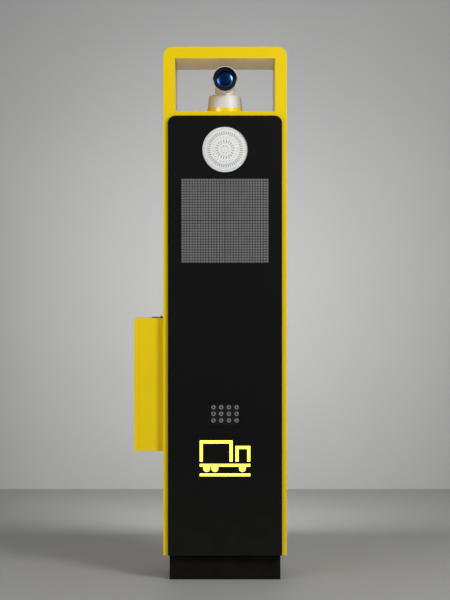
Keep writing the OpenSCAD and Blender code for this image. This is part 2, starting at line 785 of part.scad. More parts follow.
// Lens tube on its carrier disc, inside the front barrel
module camera_lens() color("#101216") difference() {
  union() {
    rod_y(0, tilt_z, [barrel_y[1] - 8, barrel_y[1] - 4], barrel_r - 4 - slip);
    rod_y(0, tilt_z, [barrel_y[0] + 13, barrel_y[1] - 7], 22);
  }
  rod_y(0, tilt_z, [barrel_y[0] + 12, barrel_y[0] + 19], 18);
}

module camera_sunshield() color("#f0efec") difference() {
  union() {
    difference() {
      rod_y(0, tilt_z, [barrel_y[0] - 25, barrel_y[1] + 22], shield_r + shield_t);
      rod_y(0, tilt_z, [barrel_y[0] - 26, barrel_y[1] + 23], shield_r);
      wide_block(shield_r + 10, [barrel_y[0] - 26, barrel_y[1] + 23], [tilt_z - shield_r - 10, tilt_z + 6.6]);
    }
    wide_block(4, [barrel_y[0] + 15, barrel_y[1] - 15], [tilt_z + barrel_r - 2, tilt_z + shield_r + 1]);
  }
  rod_y(0, tilt_z, [barrel_y[0], barrel_y[1]], barrel_r);
}

// ---- Service box ----

module side_box() color("#dfbf00") difference() {
  block([shell_x, box_x[1]], box_y, [box_z, box_top]);
  block([shell_x - through, box_x[1] - box_t], [box_y[0] + box_t, box_y[1] - box_t],
    [box_z + box_t, box_top - box_t]);
  rod_x(duct_y, duct_z, [box_x[1] - box_t - through, box_x[1] + through], duct_r);
  rod_z(button_x, button_y, [box_top - box_t - through, box_top + through], collar_r - 1);
  block([slot_cx - slot_half[0] - 2, slot_cx + slot_half[0] + 2],
    [box_cy - slot_half[1] - 2, box_cy + slot_half[1] + 2], [box_top - box_t - through, box_top + through]);
}

// Pan-shaped door with reader opening, speaker slots, lock boss and its hinge knuckles
module side_door() color("#dfbf00") difference() {
  union() {
    difference() {
      block([box_x[0], pan_x], box_y, [box_z, box_top]);
      block([box_x[0] + box_t, pan_x + through], [box_y[0] + box_t, box_y[1] - box_t],
        [box_z + box_t, box_top - box_t]);
    }
    rod_x(side_lock_y, side_lock_z, [box_x[0] + through, side_cam_x - slip], side_core_r + 4);
    for (z = side_hinge_z) {
      rod_z(side_hinge_x, side_hinge_y, [z + slip / 2, z + side_half], side_knuckle_r);
      block([box_x[0] + 3, side_hinge_x], [box_y[1], box_y[1] + side_leaf_t], [z + slip / 2, z + side_half]);
    }
  }
  rod_x(side_lock_y, side_lock_z, [box_x[0] - through, side_cam_x], side_core_r + fit);
  for (z = side_hinge_z) rod_z(side_hinge_x, side_hinge_y, [z, z + side_half + through], side_pin_r + fit);
  block([box_x[0] - through, box_x[0] + box_t + through], reader_y, reader_z);
  for (i = [0:5]) block([box_x[0] - through, box_x[0] + box_t + through], [voice_y[0] + 12, voice_y[1] - 12],
    [voice_z[0] + 6 + 7 * i, voice_z[0] + 9 + 7 * i]);
}

// Hinge leaves, and the keeper plate that the lock's cam reaches behind
module side_box_brackets() color("#c4c8cb") {
  for (z = side_hinge_z) {
    rod_z(side_hinge_x, side_hinge_y, [z - side_half, z - slip / 2], side_knuckle_r);
    rod_z(side_hinge_x, side_hinge_y, [z - side_half, z + side_half], side_pin_r);
    block([side_hinge_x, side_hinge_x + leaf_w], [box_y[1], box_y[1] + side_leaf_t],
      [z - side_half, z - slip / 2]);
  }
  block([shell_x, shell_x + keeper_t], [box_y[0] + box_t, box_y[0] + box_t + keeper_w],
    [side_lock_z - 22, side_lock_z + 22]);
}

module side_lock_core() color("#d0d3d5") difference() {
  union() {
    rod_x(side_lock_y, side_lock_z, [box_x[0], side_cam_x + cam_t], side_core_r);
    block([side_cam_x, side_cam_x + cam_t], [side_lock_y - 6, side_lock_y + 6],
      [side_lock_z - 6, side_lock_z + 22]);
  }
  rod_x(side_lock_y, side_lock_z, [box_x[0] - through, box_x[0] + 5], 3.5, $fn = 3);
}

module card_reader() color("#0f1012") {
  block([box_x[0] + box_t, box_x[0] + 17], [reader_y[0] - 8, reader_y[1] + 8],
    [reader_z[0] - 8, reader_z[1] + 8]);
  block([box_x[0], box_x[0] + box_t], [reader_y[0] + slip, reader_y[1] - slip],
    [reader_z[0] + slip, reader_z[1] - slip]);
}

module intercom_unit() color("#2a2c30") {
  block([box_x[0] + box_t, box_x[0] + 14], voice_y, voice_z);
  rod_x((voice_y[0] + voice_y[1]) / 2, (voice_z[0] + voice_z[1]) / 2, [box_x[0] + 13, box_x[0] + 18], 18);
}

module call_button_body() color("#26221a") difference() {
  union() {
    rod_z(button_x, button_y, [box_top, box_top + collar_h], collar_r);
    rod_z(button_x, button_y, [box_top - box_t - through, box_top], collar_r - 1.2);
    block([button_x - 8.5, button_x + 8.5], [button_y - 12, button_y + 12], [box_top - 27, box_top - box_t]);
  }
  rod_z(button_x, button_y, [box_top - 17 - button_travel - slip, box_top + collar_h + through],
    button_r + fit);
}

module call_button() color("#8a1f1a")
  rod_z(button_x, button_y, [box_top - 17, box_top + collar_h + 4], button_r);

module ticket_bezel() color("#2b2620") difference() {
  union() {
    block([slot_cx - bezel_half[0], slot_cx + bezel_half[0]],
      [box_cy - bezel_half[1], box_cy + bezel_half[1]], [box_top, box_top + bezel_h]);
    block([slot_cx - slot_half[0] - 1.7, slot_cx + slot_half[0] + 1.7],
      [box_cy - slot_half[1] - 1.7, box_cy + slot_half[1] + 1.7], [box_top - 4, box_top + through]);
  }
  block([slot_cx - slot_half[0], slot_cx + slot_half[0]], [box_cy - slot_half[1], box_cy + slot_half[1]],
    [box_top - 5, box_top + bezel_h + through]);
}

// U-shaped frame that carries the ticket roll and the feed roller
module printer_frame() color("#5d6166") difference() {
  block(printer_x, [box_cy - printer_half, box_cy + printer_half], printer_z);
  block([printer_x[0] - through, printer_x[1] - printer_t],
    [box_cy - printer_half + printer_t, box_cy + printer_half - printer_t],
    [printer_z[0] - through, printer_z[1] + through]);
  rod_y(roll_x, roll_z, [box_cy - printer_half - 1, box_cy + printer_half + 1], roll_pin_r + fit);
  rod_y(platen_x, platen_z, [box_cy - printer_half - 1, box_cy + printer_half + 1], platen_pin_r + fit);
}

module platen_roller() color("#1a1a1a") {
  rod_y(platen_x, platen_z, [box_cy - 29, box_cy + 29], platen_r);
  rod_y(platen_x, platen_z, [box_cy - printer_half, box_cy + printer_half], platen_pin_r);
}

module paper_roll() color("#f2efe6") {
  rod_y(roll_x, roll_z, [box_cy - 28, box_cy + 28], roll_r);
  rod_y(roll_x, roll_z, [box_cy - printer_half, box_cy + printer_half], roll_pin_r);
}

plinth_box();
base_plate();
floor_deck();
cable_glands();
left_side_sheet();
right_side_sheet();
arch_cap_sheet();
front_face_frame();
rear_face_frame();
window_liner();
camera_shelf();
front_panel();
panel_nuts();
signal_gasket();
signal_housing();
signal_led_board();
signal_lens();
display_frame();
display_modules();
lamp_body();
lamp_lenses();
sign_light_guide();
mounting_plate();
din_rails();
power_supply();
controller();
breaker_body();
breaker_lever();
rear_door();
door_seal();
hinge_frame_leaves();
hinge_door_leaves();
rear_lock_bodies();
rear_lock_upper();
rear_lock_lower();
vent_grilles();
fan_frame();
fan_rotor();
camera_riser();
camera_base();
camera_neck();
camera_tilt_bolts();
camera_barrel();
camera_tail();
camera_front_ring();
camera_glass();
camera_lens();
camera_sunshield();
side_box();
side_door();
side_box_brackets();
side_lock_core();
card_reader();
intercom_unit();
call_button_body();
call_button();
ticket_bezel();
printer_frame();
platen_roller();
paper_roll();
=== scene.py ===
import json
from math import cos, pi, radians, sin, tau

import bmesh
import bpy
from bpy.props import FloatProperty, FloatVectorProperty, IntProperty, PointerProperty
from mathutils import Matrix, Vector


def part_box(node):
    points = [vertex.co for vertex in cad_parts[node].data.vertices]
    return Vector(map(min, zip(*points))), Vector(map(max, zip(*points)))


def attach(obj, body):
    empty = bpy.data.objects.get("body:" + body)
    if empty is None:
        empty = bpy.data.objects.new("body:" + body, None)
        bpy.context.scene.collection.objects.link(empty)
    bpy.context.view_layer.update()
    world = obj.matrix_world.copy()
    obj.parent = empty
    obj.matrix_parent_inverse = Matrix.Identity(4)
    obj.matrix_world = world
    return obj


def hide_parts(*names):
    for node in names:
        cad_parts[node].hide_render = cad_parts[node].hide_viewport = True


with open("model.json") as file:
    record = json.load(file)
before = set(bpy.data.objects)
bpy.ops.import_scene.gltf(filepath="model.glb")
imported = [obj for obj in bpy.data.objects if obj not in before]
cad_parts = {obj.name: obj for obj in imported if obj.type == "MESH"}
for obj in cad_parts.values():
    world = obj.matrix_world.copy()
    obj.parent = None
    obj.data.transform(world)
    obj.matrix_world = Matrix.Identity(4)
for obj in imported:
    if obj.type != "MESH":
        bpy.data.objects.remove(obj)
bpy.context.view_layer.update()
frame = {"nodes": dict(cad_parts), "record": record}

bl_info = {
    "name": "Lane column",
    "version": (1, 0, 0),
    "blender": (4, 5, 0),
    "location": "View3D > Sidebar > Column",
    "description": "Finishes a driver registration column on its CAD frame",
    "category": "Object",
}

MM = 0.001
SLOTS = {row["node"]: row["material_slot"] for row in frame["record"]["subparts"]}
BODIES = {node: body for body, nodes in frame["record"]["behaviour"]["bodies"].items() for node in nodes}


def linear(colour):
    """An sRGB hex value as linear red, green and blue."""
    parts = [int(colour[i:i + 2], 16) / 255 for i in (0, 2, 4)]
    return [c / 12.92 if c <= 0.04045 else ((c + 0.055) / 1.055) ** 2.4 for c in parts]


def colour_property(name, description, colour):
    """A colour that a user can change, with its default given in hex."""
    return FloatVectorProperty(
        name=name, description=description, subtype="COLOR", size=3, min=0, max=1, default=linear(colour))


def length_property(name, description, millimetres):
    """A length that a user can change, with its default given in millimetres."""
    return FloatProperty(
        name=name, description=description, subtype="DISTANCE", unit="LENGTH", min=0, default=millimetres * MM)


class ColumnColours(bpy.types.PropertyGroup):
    yellow: colour_property("Column yellow", "Powder coat of the column and the service box", "EACB00")
    yellow_gloss: colour_property("Riser yellow", "Gloss enamel of the camera's riser", "FFDC00")
    black: colour_property("Panel black", "Powder coat of the front panel", "0B0B0B")
    plinth: colour_property("Plinth black", "Powder coat of the plinth", "080808")
    white: colour_property("Camera white", "Paint of the camera's castings", "D6D8DC")
    signal: colour_property("Signal lens", "Moulded lens of the round signal", "EAEAE8")
    cell: colour_property("Display cell", "Unlit cell of the matrix display", "6E6E6E")
    light: colour_property("Sign light", "Light of the sign's guide", "FFF455")
    glass: colour_property("Camera glass", "Coating of the camera's front glass", "3464B4")
    button: colour_property("Button red", "Cap of the call button", "5A2620")


class ColumnSizes(bpy.types.PropertyGroup):
    shell_round: length_property("Column edge", "Radius of the folds round the column's faces", 4.5)
    panel_round: length_property("Panel edge", "Radius of the fold round the front panel", 1.6)
    box_round: length_property("Service box edge", "Radius of the folds of the service box", 2.0)
    part_round: length_property("Small edge", "Radius of the edges of small parts", 0.6)
    cells: IntProperty(
        name="Cells", description="Cells along each side of a display module", min=4, max=32, default=16)
    cell_gap: length_property("Cell gap", "Dark line between two display cells", 2.6)
    cell_rise: length_property("Cell rise", "How far a display cell stands proud", 0.9)
    dashes: IntProperty(
        name="Dashes", description="Prisms in the signal's outer ring", min=12, max=96, default=48)


class StudioSettings(bpy.types.PropertyGroup):
    camera_distance: length_property("Camera distance", "From the column's front to the camera", 6750)
    camera_height: length_property("Camera height", "Height of the level camera", 1224)
    lens: FloatProperty(name="Lens", description="Focal length in millimetres", min=10, default=92.8)
    wall: length_property("Wall", "Backdrop behind the column's centre", 3090)
    key: FloatProperty(name="Key", description="Power of the key light", subtype="POWER", min=0, default=158)
    fill: FloatProperty(name="Fill", description="Power of the fill light", subtype="POWER", min=0, default=62)
    wash: FloatProperty(
        name="Wall wash", description="Power of the light on the wall", subtype="POWER", min=0, default=36)
    side: FloatProperty(
        name="Side lights", description="Power of each light beside the column", subtype="POWER", min=0, default=36)
    ambient: FloatProperty(name="Ambient", description="Strength of the grey surroundings", min=0, default=0.1)
    floor: colour_property("Floor", "Plain floor", "A1A19F")
    backdrop: colour_property("Backdrop", "Plain wall", "AAAAAA")


# ---- Shader helpers ----


def add(tree, kind, values=None, **settings):
    """Adds a shader node: settings are its properties, and values go to its sockets, as links if they are sockets."""
    node = tree.nodes.new("ShaderNode" + kind)
    for name, value in settings.items():
        setattr(node, name, value)
    for socket, value in (values or {}).items():
        if isinstance(value, bpy.types.NodeSocket):
            tree.links.new(value, node.inputs[socket])
        else:
            node.inputs[socket].default_value = value
    return node


def new_material(name, **sockets):
    """A material with its shader set; gives the material, its tree, the shader and the piece's coordinates."""
    made = bpy.data.materials.new(name)
    made.use_nodes = True
    tree = made.node_tree
    tree.nodes.clear()
    shader = add(tree, "BsdfPrincipled", {key.replace("_", " "): value for key, value in sockets.items()})
    add(tree, "OutputMaterial", {"Surface": shader.outputs["BSDF"]})
    return made, tree, shader, add(tree, "TexCoord").outputs["Object"]


def spread(tree, factor, low, high):
    """Maps a factor from 0 to 1 to a range of values."""
    return add(tree, "MapRange", {"Value": factor, "To Min": low, "To Max": high}).outputs["Result"]


def blend_colours(tree, factor, first, second):
    """Mixes two colours by a factor."""
    return add(tree, "Mix", {0: factor, 6: (*first, 1), 7: (*second, 1)}, data_type="RGBA").outputs[2]


def noise(tree, where, size_mm, detail=2.0, stretch=None):
    """Noise whose patches are about size_mm across, stretched along the axes if asked."""
    if stretch:
        where = add(tree, "Mapping", {"Vector": where, "Scale": stretch}).outputs["Vector"]
    return add(tree, "TexNoise", {"Vector": where, "Scale": 1000 / size_mm, "Detail": detail}).outputs["Fac"]


def relief(tree, shader, height, depth_mm, strength=1.0):
    """Gives the shader a bump of that depth."""
    bump = add(tree, "Bump", {"Height": height, "Strength": strength, "Distance": depth_mm * MM})
    tree.links.new(bump.outputs["Normal"], shader.inputs["Normal"])


def shade(colour, by):
    """A linear colour made darker or lighter."""
    return [min(1.0, c * by) for c in colour]


# ---- Finishes ----


def powder_coat(name, colour, roughness, peel_mm, sheen):
    """Polyester powder coat, sprayed and baked: a satin skin with a fine orange peel and a trace of dust low down."""
    made, tree, shader, where = new_material(name, Specular_IOR_Level=sheen)
    patches = noise(tree, where, 380)
    height = add(tree, "SeparateXYZ", {"Vector": where}).outputs["Z"]
    low = add(tree, "MapRange", {"Value": height, "From Min": 0.55, "From Max": 0.05}).outputs["Result"]
    film = add(tree, "Math", {0: low, 1: noise(tree, where, 60, 5.0)}, operation="MULTIPLY").outputs[0]
    dusty = add(tree, "Math", {0: film, 1: 0.035}, operation="MULTIPLY").outputs[0]
    clean = blend_colours(tree, patches, shade(colour, 0.97), shade(colour, 1.02))
    tint = add(tree, "Mix", {0: dusty, 6: clean, 7: (*linear("8C857A"), 1)}, data_type="RGBA").outputs[2]
    tree.links.new(tint, shader.inputs["Base Color"])
    tree.links.new(spread(tree, noise(tree, where, 90, 3.0), roughness - 0.04, roughness + 0.05), shader.inputs["Roughness"])
    relief(tree, shader, noise(tree, where, peel_mm, 1.0), 0.05, 0.35)
    return made


def metal(name, colour, roughness, grain_mm, stretch):
    """Plated or brushed metal: fine streaks along one axis that catch the light."""
    made, tree, shader, where = new_material(name, Metallic=1.0)
    streaks = noise(tree, where, grain_mm, 3.0, stretch)
    tree.links.new(blend_colours(tree, streaks, shade(colour, 0.85), colour), shader.inputs["Base Color"])
    tree.links.new(spread(tree, streaks, roughness - 0.08, roughness + 0.1), shader.inputs["Roughness"])
    relief(tree, shader, streaks, 0.03, 0.4)
    return made


def zinc_plate(name, colour):
    """Hot-dip galvanised sheet: flat spangles of slightly different grey."""
    made, tree, shader, where = new_material(name, Metallic=0.9)
    cells = add(tree, "TexVoronoi", {"Vector": where, "Scale": 1000 / 14, "Randomness": 1.0})
    spangle = add(tree, "SeparateColor", {"Color": cells.outputs["Color"]}).outputs["Red"]
    tree.links.new(blend_colours(tree, spangle, shade(colour, 0.72), colour), shader.inputs["Base Color"])
    tree.links.new(spread(tree, spangle, 0.36, 0.55), shader.inputs["Roughness"])
    return made


def moulded(name, colour, roughness, grain_mm=1.2):
    """Spark-eroded mould texture on ABS: a fine even grain and a slow change of tone."""
    made, tree, shader, where = new_material(name, Specular_IOR_Level=0.3)
    tone = noise(tree, where, 45, 3.0)
    tree.links.new(blend_colours(tree, tone, shade(colour, 0.9), shade(colour, 1.08)), shader.inputs["Base Color"])
    tree.links.new(spread(tree, tone, roughness - 0.05, roughness + 0.06), shader.inputs["Roughness"])
    relief(tree, shader, noise(tree, where, grain_mm, 1.0), 0.04, 0.4)
    return made


def enamel(name, colour, roughness, coat=0.5):
    """Two-part enamel on a casting: smooth, slightly wavy and clear-coated."""
    made, tree, shader, where = new_material(name, Coat_Weight=coat, Coat_Roughness=0.08)
    tone = noise(tree, where, 70, 2.0)
    tree.links.new(blend_colours(tree, tone, shade(colour, 0.97), shade(colour, 1.02)), shader.inputs["Base Color"])
    tree.links.new(spread(tree, tone, roughness, roughness + 0.05), shader.inputs["Roughness"])
    relief(tree, shader, noise(tree, where, 9, 1.0), 0.04, 0.25)
    return made


def polycarbonate(name, colour, roughness, depth):
    """Moulded prismatic polycarbonate: glossy, milky, with light spreading inside it."""
    made, tree, shader, where = new_material(
        name, Coat_Weight=0.35, Coat_Roughness=0.06, IOR=1.58, Subsurface_Weight=depth, Subsurface_Scale=0.004)
    tone = noise(tree, where, 12, 3.0)
    tree.links.new(blend_colours(tree, tone, shade(colour, 0.93), shade(colour, 1.03)), shader.inputs["Base Color"])
    tree.links.new(spread(tree, tone, roughness, roughness + 0.1), shader.inputs["Roughness"])
    return made


def lit_guide(name, colour):
    """Edge-lit acrylic: it glows evenly, a little stronger over its lamps."""
    made, tree, shader, where = new_material(name, Base_Color=(*colour, 1), Roughness=0.4)
    lamps = noise(tree, where, 40, 1.0)
    tree.links.new(blend_colours(tree, lamps, shade(colour, 0.96), colour), shader.inputs["Emission Color"])
    shader.inputs["Emission Strength"].default_value = 1.25
    return made


def coated_glass(name, colour):
    """Multi-coated front glass: a dark blue mirror with a soft bloom of tone."""
    made, tree, shader, where = new_material(
        name, Metallic=1.0, Roughness=0.2, Coat_Weight=0.1, Coat_Roughness=0.05)
    bloom = noise(tree, where, 40, 1.0)
    tree.links.new(blend_colours(tree, bloom, shade(colour, 0.5), colour), shader.inputs["Base Color"])
    return made


def rubber(name, colour):
    """Extruded EPDM rubber: matt and slightly chalky."""
    made, tree, shader, where = new_material(name)
    tone = noise(tree, where, 8, 4.0)
    tree.links.new(blend_colours(tree, tone, colour, shade(colour, 1.5)), shader.inputs["Base Color"])
    tree.links.new(spread(tree, tone, 0.72, 0.9), shader.inputs["Roughness"])
    return made


def paper(name, colour):
    """Uncoated thermal paper: white with a faint fibre."""
    made, tree, shader, where = new_material(name)
    fibre = noise(tree, where, 1.5, 4.0, (1, 6, 1))
    tree.links.new(blend_colours(tree, fibre, shade(colour, 0.94), colour), shader.inputs["Base Color"])
    tree.links.new(spread(tree, fibre, 0.7, 0.85), shader.inputs["Roughness"])
    return made


def circuit_board(name, colour):
    """Solder resist over copper tracks: green with a fine lighter pattern."""
    made, tree, shader, where = new_material(name, Coat_Weight=0.3)
    tracks = add(tree, "TexBrick", {"Vector": where, "Scale": 120, "Color1": (*colour, 1),
                                    "Color2": (*shade(colour, 0.7), 1), "Mortar": (*shade(colour, 1.7), 1)})
    tree.links.new(tracks.outputs["Color"], shader.inputs["Base Color"])
    tree.links.new(spread(tree, tracks.outputs["Fac"], 0.3, 0.5), shader.inputs["Roughness"])
    return made


def finishes(look):
    """How each material slot of the record is made, as a function to call once."""
    return {
        "yellow_powder": lambda: powder_coat("Yellow powder coat", look.yellow, 0.32, 7, 0.42),
        "black_powder": lambda: powder_coat("Black powder coat", look.black, 0.55, 5, 0.1),
        "plinth_black": lambda: powder_coat("Plinth powder coat", look.plinth, 0.65, 5, 0.05),
        "zinc_plate": lambda: zinc_plate("Galvanised sheet", linear("B4B8BB")),
        "stainless": lambda: metal("Brushed stainless steel", linear("C6C8CA"), 0.32, 6, (1, 1, 18)),
        "white_housing": lambda: enamel("White camera enamel", look.white, 0.44, 0.1),
        "riser_yellow": lambda: enamel("Gloss yellow enamel", look.yellow_gloss, 0.16, 0.8),
        "black_plastic": lambda: moulded("Black moulded ABS", linear("0B0B0C"), 0.45),
        "grey_plastic": lambda: moulded("Grey moulded ABS", linear("85898C"), 0.5),
        "light_plastic": lambda: moulded("Light moulded polyamide", linear("E0E0DC"), 0.42),
        "rubber_black": lambda: rubber("Black rubber", linear("161616")),
        "signal_white": lambda: polycarbonate("Signal polycarbonate", look.signal, 0.25, 0.3),
        "lamp_clear": lambda: polycarbonate("Lamp polycarbonate", linear("1C1C1B"), 0.2, 0.0),
        "led_grey": lambda: moulded("Display cell face", look.cell, 0.5, 2),
        "board_green": lambda: circuit_board("Circuit board", linear("1A5A38")),
        "sign_glow": lambda: lit_guide("Lit acrylic", look.light),
        "camera_glass": lambda: coated_glass("Coated glass", look.glass),
        "lens_black": lambda: enamel("Gloss black", linear("0E1014"), 0.12),
        "button_red": lambda: polycarbonate("Button red", look.button, 0.2, 0.1),
        "button_collar": lambda: moulded("Collar ABS", linear("2A2620"), 0.4),
        "ticket_paper": lambda: paper("Ticket paper", linear("F2EFE6")),
        "lead_grey": lambda: powder_coat("Grey powder coat", linear("404A56"), 0.45, 5, 0.3),
        "led_lamp": lambda: moulded("Display lamp", shade(look.cell, 1.25), 0.35, 2),
        "dark_gap": lambda: moulded("Display mask", linear("141414"), 0.6, 2),
        "lamp_rim": lambda: polycarbonate("Lamp rim", linear("747470"), 0.22, 0.0),
        "prism_grey": lambda: polycarbonate("Signal prisms", linear("9A9A98"), 0.3, 0.1),
    }


MADE = {}


def finish(slot):
    """The finished material of a slot, made the first time it is asked for."""
    if slot not in MADE:
        MADE[slot] = finishes(bpy.context.scene.column_colours)[slot]()
    return MADE[slot]


# ---- Mesh helpers ----


def cad_copy(*nodes):
    """A welded copy of CAD nodes, with their flat faces made whole."""
    bm = bmesh.new()
    for node in nodes:
        bm.from_mesh(frame["nodes"][node].data)
    bmesh.ops.remove_doubles(bm, verts=bm.verts, dist=0.01 * MM)
    make_whole(bm)
    return bm


def make_whole(bm):
    """Joins the triangles of each flat face."""
    bmesh.ops.dissolve_limit(bm, angle_limit=radians(0.3), verts=bm.verts, edges=bm.edges)


def round_edges(bm, width, segments=2, choose=lambda edge: True, sharper=30):
    """Rounds the edges that are chosen and turn by more than an angle in degrees."""
    edges = [e for e in bm.edges if len(e.link_faces) == 2 and e.calc_face_angle(0) > radians(sharper) and choose(e)]
    if edges:
        bmesh.ops.bevel(bm, geom=edges, offset=width, offset_type="OFFSET", segments=segments, profile=0.5,
                        affect="EDGES", clamp_overlap=True, material=-1)


def place(bm, name, slot, body, stands_for=(), more=()):
    """Turns a finished bmesh into a piece that rides on a body and stands for CAD nodes."""
    mesh = bpy.data.meshes.new(name)
    bm.to_mesh(mesh)
    bm.free()
    piece = bpy.data.objects.new(name, mesh)
    bpy.context.scene.collection.objects.link(piece)
    for each in (slot, *more):
        mesh.materials.append(finish(each))
    mesh.shade_smooth()
    mesh.set_sharp_from_angle(angle=radians(35))
    piece.modifiers.new("Even shading", "WEIGHTED_NORMAL").keep_sharp = True
    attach(piece, body)
    if stands_for:
        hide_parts(*stands_for)
    return piece


def refine(node, width, segments=2, slot=None):
    """A CAD node's solid with its edges rounded, in the finish of its slot."""
    bm = cad_copy(node)
    round_edges(bm, width, segments)
    return place(bm, node + "_finished", slot or SLOTS[node], BODIES[node], [node])


def dress(node):
    """Gives a CAD node that stays as it is the finish of its slot."""
    mesh = frame["nodes"][node].data
    mesh.materials.clear()
    mesh.materials.append(finish(SLOTS[node]))


def joined_solids(nodes):
    """The solids of several nodes, welded into one by boolean unions."""
    parts = []
    for node in nodes:
        bm = cad_copy(node)
        mesh = bpy.data.meshes.new(node + "_part")
        bm.to_mesh(mesh)
        bm.free()
        part = bpy.data.objects.new(node + "_part", mesh)
        bpy.context.scene.collection.objects.link(part)
        parts.append(part)
    for other in parts[1:]:
        weld = parts[0].modifiers.new("Weld", "BOOLEAN")
        weld.operation = "UNION"
        weld.solver = "EXACT"
        weld.object = other
    seen = parts[0].evaluated_get(bpy.context.evaluated_depsgraph_get())
    bm = bmesh.new()
    bm.from_mesh(seen.to_mesh())
    seen.to_mesh_clear()
    for part in parts:
        bpy.data.meshes.remove(part.data)
    bmesh.ops.remove_doubles(bm, verts=bm.verts, dist=0.01 * MM)
    make_whole(bm)
    return bm


def turned(bm, profile, axis_at, axis, steps=64):
    """Spins a profile of (radius, along) points round an axis that starts at a point."""
    along = Vector(axis)
    out = along.orthogonal().normalized()
    start = Vector(axis_at)
    verts = [bm.verts.new(start + out * r + along * h) for r, h in profile]
    edges = [bm.edges.new(pair) for pair in zip(verts, verts[1:])]
    before = set(bm.verts)
    bmesh.ops.spin(bm, geom=verts + edges, cent=start, axis=along, angle=tau, steps=steps, use_merge=True)
    fresh = [v for v in bm.verts if v not in before] + verts
    bmesh.ops.remove_doubles(bm, verts=[v for v in fresh if v.is_valid], dist=0.001 * MM)
    return bm


def arc(centre, radius, start, end, steps):
    """Points on an arc, as (radius, along) pairs, with angles in degrees."""
    angles = [radians(start + (end - start) * i / steps) for i in range(steps + 1)]
    return [(centre[0] + radius * cos(a), centre[1] + radius * sin(a)) for a in angles]


def centre_of(node):
    """Middle of a node's box."""
    low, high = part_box(node)
    return (Vector(low) + Vector(high)) / 2


# ---- Pieces ----


class ColumnOperator(bpy.types.Operator):
    """Shared by the operators that make pieces"""

    def execute(self, context):
        self.make(context.scene.column_sizes)
        return {"FINISHED"}


class COLUMN_OT_shell(ColumnOperator):
    """Welds the column's sheets into one ground and coated body and rounds its folds"""

    bl_idname = "column.shell"
    bl_label = "Steel column"

    def make(self, sizes):
        sheets = ["front_face_frame", "left_side_sheet", "right_side_sheet", "arch_cap_sheet",
                  "rear_face_frame", "window_liner", "camera_shelf"]
        low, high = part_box("front_face_frame")
        front, back = low[1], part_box("rear_face_frame")[1][1]
        shoulder = high[2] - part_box("arch_cap_sheet")[0][2]
        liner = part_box("window_liner")
        inner_x, inner_top = liner[1][0] - (high[1] - low[1]), liner[1][2] - (high[1] - low[1])

        def on_outline(v):
            """True on the arch's outer outline."""
            over = Vector((max(abs(v.co.x) - high[0] + shoulder, 0), max(v.co.z - high[2] + shoulder, 0)))
            return abs(over.length - shoulder) < 0.05 * MM

        def on_face(v):
            return abs(v.co.y - front) < 0.01 * MM or abs(v.co.y - back) < 0.01 * MM

        def on_window(v):
            beside = abs(abs(v.co.x) - inner_x) < 0.01 * MM and v.co.z > liner[0][2] - MM
            above = min(abs(v.co.z - inner_top), abs(v.co.z - liner[0][2])) < 0.01 * MM and abs(v.co.x) < inner_x + MM
            return beside or above

        bm = joined_solids(sheets)
        round_edges(bm, sizes.shell_round, 4, lambda e: all(on_face(v) and on_outline(v) for v in e.verts))
        round_edges(bm, 1.2 * MM, 2, lambda e: all(on_face(v) and on_window(v) for v in e.verts))
        place(bm, "column_shell", "yellow_powder", "column", sheets)


class COLUMN_OT_panel(ColumnOperator):
    """Front panel with its rounded folds and crisp cut-outs"""

    bl_idname = "column.panel"
    bl_label = "Front panel"

    def make(self, sizes):
        low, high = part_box("front_panel")
        inside = 20 * MM

        def on_rim(edge):
            """True on the fold round the panel's face."""
            return all(abs(v.co.y - low[1]) < 0.01 * MM and (
                abs(v.co.x) > high[0] - inside or v.co.z > high[2] - inside or v.co.z < low[2] + MM)
                for v in edge.verts)

        bm = cad_copy("front_panel")
        round_edges(bm, sizes.panel_round, 3, on_rim)
        round_edges(bm, 0.4 * MM, 1, lambda e: all(abs(v.co.y - low[1]) < 0.01 * MM for v in e.verts))
        place(bm, "front_panel_finished", "black_powder", "column", ["front_panel"])
        refine("panel_nuts", 0.3 * MM, 1)
        refine("display_frame", 0.4 * MM, 1)


